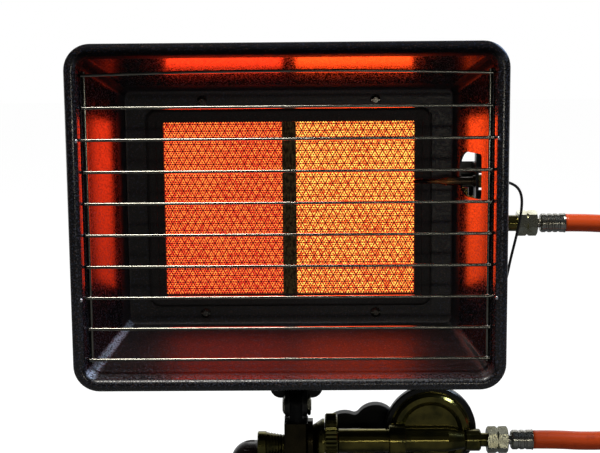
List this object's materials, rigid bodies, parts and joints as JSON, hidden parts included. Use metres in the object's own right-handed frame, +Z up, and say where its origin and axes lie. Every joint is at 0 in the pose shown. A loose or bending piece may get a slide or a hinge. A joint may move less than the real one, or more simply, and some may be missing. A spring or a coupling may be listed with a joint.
{
  "type": "portable propane heater",
  "caption": "Two-tile radiant gas heater head with a flared reflector and wire guard, tilting on a post above a cylinder-top manifold with regulator and hose.",
  "frame": {"origin": "centre of the cylinder hand nut's lower face, on the post's axis", "axes": "+Z up along the post, -Y to the front where the burner faces, +X to the side of the regulator and hose"},
  "size_m": [0.4769, 0.1275, 0.3487],
  "materials": {
    "enamel": "hammered dark grey heat-resistant enamel",
    "bezel": "dark stoved enamel, dulled by heat",
    "wire": "plain steel wire, heat-tinted",
    "ceramic": "perforated ceramic, glowing orange",
    "fibre": "scorched mineral fibre",
    "steel": "aluminised steel sheet",
    "zinc": "zinc plated",
    "brass": "machined brass",
    "black_steel": "black oxide",
    "probe": "heat-tinted probe sheath",
    "lead": "black sleeve on a copper lead",
    "hose": "orange gas hose",
    "casting": "yellow-passivated die casting",
    "crimp": "black lacquered pressing",
    "knob": "black moulded plastic",
    "red_knob": "dark red moulded plastic",
    "seal": "moulded nitrile rubber",
    "post": "black lacquered steel"
  },
  "bodies": {
    "stand": {"stand_post": "post", "manifold": "post", "relief_valve": "brass", "relief_cap": "brass", "tap_gland": "brass", "outlet_nipple": "brass", "regulator_body": "casting", "regulator_diaphragm": "seal", "regulator_bonnet": "crimp", "regulator_spring": "zinc", "regulator_cap": "knob", "shutoff_gland": "brass", "lower_hose_nut": "zinc", "lower_hose_tail": "zinc", "gas_hose": "hose", "cylinder_nipple": "brass", "cylinder_seal": "seal"},
    "head": {"reflector": "enamel", "guard": "wire", "burner_frame": "bezel", "tile_left": "ceramic", "tile_right": "ceramic", "centre_strip": "fibre", "tile_gasket": "fibre", "plenum": "steel", "plenum_baffle": "steel", "mixing_tube": "steel", "burner_screws": "zinc", "valve_bracket": "steel", "safety_valve": "brass", "jet_holder": "brass", "jet": "brass", "valve_bonnet": "brass", "button_spring": "zinc", "magnet_unit": "brass", "thermocouple_nut": "brass", "probe_bracket": "black_steel", "thermocouple": "probe", "probe_nut": "zinc", "thermocouple_lead": "lead", "inlet_nipple": "brass", "upper_hose_nut": "zinc", "upper_hose_tail": "zinc", "tilt_bracket": "post", "tilt_bracket_screws": "zinc", "pivot_bolt": "black_steel", "pivot_nut": "black_steel", "pivot_washers": "black_steel"},
    "button": {"safety_button": "red_knob"},
    "tap_grip": {"tap_spindle": "brass", "tap_knob": "red_knob"},
    "shutoff_grip": {"shutoff_spindle": "brass", "shutoff_knob": "knob"},
    "union_ring": {"union_nut": "casting"},
    "cylinder_ring": {"hand_nut": "brass"}
  },
  "joints": [
    {"name": "head_tilt", "type": "hinge", "parent": "stand", "child": "head", "pos_m": [0, 0, 0.088], "axis": [1, 0, 0], "range_deg": [-50, 15], "deforming": ["gas_hose"]},
    {"name": "safety_press", "type": "slide", "parent": "head", "child": "button", "axis": [0, 0, -1], "range_m": [0, 0.005], "stiffness_N_per_m": 600, "springref_m": -0.004, "deforming": ["button_spring"]},
    {"name": "tap_turn", "type": "hinge", "parent": "stand", "child": "tap_grip", "pos_m": [-0.038, 0.015, 0.041], "axis": [-1, 0, 0], "range_deg": [0, 450]},
    {"name": "shutoff_turn", "type": "hinge", "parent": "stand", "child": "shutoff_grip", "pos_m": [0.0489, 0.027, 0.0555], "axis": [0, 1, 0], "range_deg": [0, 90]},
    {"name": "union_spin", "type": "hinge", "parent": "stand", "child": "union_ring", "pos_m": [0.025, 0, 0.0612], "axis": [1, 0, 0], "continuous": true},
    {"name": "hand_nut_spin", "type": "hinge", "parent": "stand", "child": "cylinder_ring", "pos_m": [0, 0, 0.012], "axis": [0, 0, 1], "continuous": true}
  ]
}
